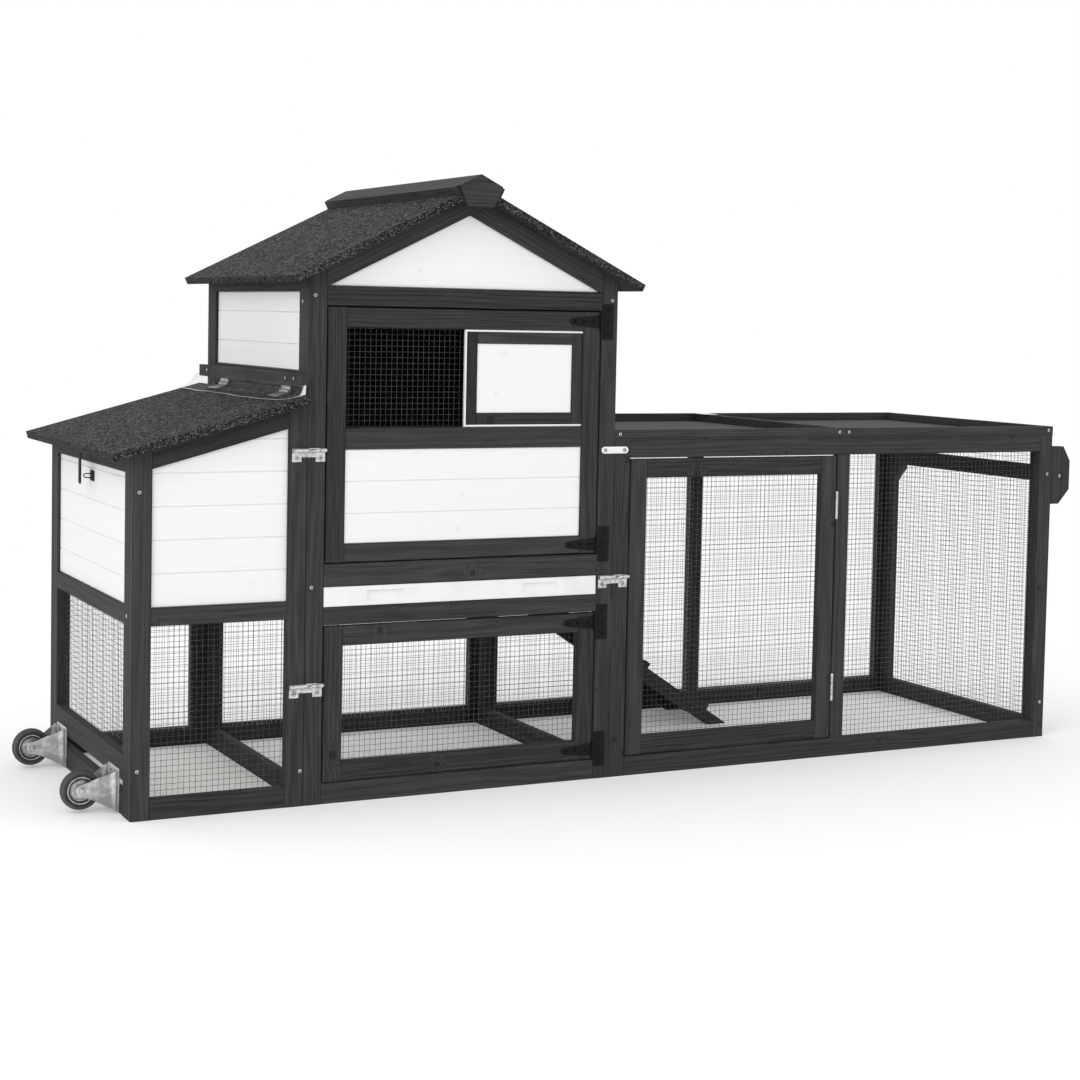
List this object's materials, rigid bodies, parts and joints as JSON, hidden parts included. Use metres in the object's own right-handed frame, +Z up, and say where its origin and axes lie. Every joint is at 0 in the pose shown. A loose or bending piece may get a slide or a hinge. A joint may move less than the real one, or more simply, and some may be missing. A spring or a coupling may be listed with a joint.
{
  "type": "chicken tractor",
  "caption": "Timber chicken tractor: raised nest end on castors, gabled tower with doors and a pull-out tray, and a wire run with a handle.",
  "frame": {"origin": "on the ground under the middle of the bounding box", "axes": "+X towards the handle end of the run, +Y towards the back, +Z up; the doors face -Y"},
  "size_m": [2.63, 0.83, 1.3923],
  "materials": {
    "stained timber": "dark stain, matt",
    "white boards": "white paint, satin",
    "plain wood board": "bare board",
    "felt": "mineral roofing felt",
    "galvanised wire": "galvanised",
    "zinc steel": "zinc plated",
    "black steel": "black paint, satin",
    "white plate": "white paint, satin",
    "clear sheet": "clear sheet",
    "white sheet": "satin",
    "tyre": "matt"
  },
  "bodies": {
    "frame": {"nest_stiles": "stained timber", "nest_rails": "stained timber", "nest_siding": "white boards", "nest_floor": "plain wood board", "low_mesh": "galvanised wire", "tower_stiles": "stained timber", "tower_rails": "stained timber", "tower_siding": "white boards", "tray_runners": "stained timber", "roosts": "stained timber", "pop_door_guides": "stained timber", "tower_roof_boards": "plain wood board", "tower_roof_felt": "felt", "ridge_cap": "felt", "ridge_end_plates": "stained timber", "run_stiles": "stained timber", "run_rails": "stained timber", "run_mesh": "galvanised wire", "run_top_rim": "stained timber", "run_top_deck": "stained timber", "handle_cheeks": "stained timber", "handle_bar": "stained timber", "joining_plates": "white plate", "tee_hinge_leaves": "black steel", "steel_hinge_leaves": "zinc steel", "bolt_plates": "zinc steel", "flap_batten": "stained timber", "weather_flap": "clear sheet", "hasp_staple": "zinc steel", "castor_forks": "zinc steel", "frame_screws": "zinc steel"},
    "upper_door": {"upper_door_frame": "stained timber", "upper_door_panel": "white boards", "upper_door_mesh": "galvanised wire", "upper_door_straps": "black steel"},
    "sash": {"sash_frame": "stained timber", "sash_panel": "white sheet", "sash_trim": "white sheet"},
    "tray": {"tray_front": "white boards", "tray_pan": "zinc steel"},
    "lower_door": {"lower_door_frame": "stained timber", "lower_door_mesh": "galvanised wire", "lower_door_straps": "black steel"},
    "run_door": {"run_door_frame": "stained timber", "run_door_mesh": "galvanised wire", "run_door_leaves": "zinc steel"},
    "nest_roof": {"nest_roof_boards": "plain wood board", "nest_roof_felt": "felt", "nest_roof_leaves": "zinc steel"},
    "hasp": {"hasp_strap": "zinc steel"},
    "upper_bolt": {"upper_bolt_rod": "zinc steel"},
    "lower_bolt": {"lower_bolt_rod": "zinc steel"},
    "run_bolt": {"run_bolt_rod": "zinc steel"},
    "front_wheel": {"front_tyre": "tyre", "front_rim": "zinc steel"},
    "back_wheel": {"back_tyre": "tyre", "back_rim": "zinc steel"},
    "ramp": {"ramp": "stained timber", "ramp_leaves": "zinc steel"},
    "pop_door": {"pop_door": "plain wood board"}
  },
  "joints": [
    {"name": "upper_door_hinge", "type": "hinge", "parent": "frame", "child": "upper_door", "pos_m": [-0.0965, -0.3635, 0.8125], "axis": [0, 0, 1], "range_deg": [0, 170]},
    {"name": "sash_slide", "type": "slide", "parent": "upper_door", "child": "sash", "axis": [-1, 0, 0], "range_m": [0, 0.283]},
    {"name": "tray_slide", "type": "slide", "parent": "frame", "child": "tray", "axis": [0, -1, 0], "range_m": [0, 0.55]},
    {"name": "lower_door_hinge", "type": "hinge", "parent": "frame", "child": "lower_door", "pos_m": [-0.0965, -0.3635, 0.221], "axis": [0, 0, 1], "range_deg": [0, 170]},
    {"name": "run_door_hinge", "type": "hinge", "parent": "frame", "child": "run_door", "pos_m": [0.5745, -0.3635, 0.402], "axis": [0, 0, 1], "range_deg": [0, 170]},
    {"name": "nest_roof_hinge", "type": "hinge", "parent": "frame", "child": "nest_roof", "pos_m": [-0.8168, 0, 0.90446], "axis": [0, 1, 0], "range_deg": [0, 60], "deforming": ["weather_flap"]},
    {"name": "hasp_hinge", "type": "hinge", "parent": "nest_roof", "child": "hasp", "pos_m": [-1.219, 0, 0.76859], "axis": [0, 1, 0], "range_deg": [-8, 75]},
    {"name": "upper_bolt_slide", "type": "slide", "parent": "frame", "child": "upper_bolt", "axis": [1, 0, 0], "range_m": [0, 0.016]},
    {"name": "lower_bolt_slide", "type": "slide", "parent": "frame", "child": "lower_bolt", "axis": [1, 0, 0], "range_m": [0, 0.016]},
    {"name": "run_bolt_slide", "type": "slide", "parent": "frame", "child": "run_bolt", "axis": [1, 0, 0], "range_m": [0, 0.016]},
    {"name": "front_wheel_spin", "type": "hinge", "parent": "frame", "child": "front_wheel", "pos_m": [-1.272, -0.234, 0.049], "axis": [0, 1, 0], "continuous": true},
    {"name": "back_wheel_spin", "type": "hinge", "parent": "frame", "child": "back_wheel", "pos_m": [-1.272, 0.234, 0.049], "axis": [0, 1, 0], "continuous": true},
    {"name": "ramp_hinge", "type": "hinge", "parent": "frame", "child": "ramp", "pos_m": [-0.0492, 0.205, 0.40566], "axis": [0, -1, 0], "range_deg": [0, 55]},
    {"name": "pop_door_slide", "type": "slide", "parent": "frame", "child": "pop_door", "axis": [0, 1, 0], "range_m": [0, 0.21]}
  ]
}
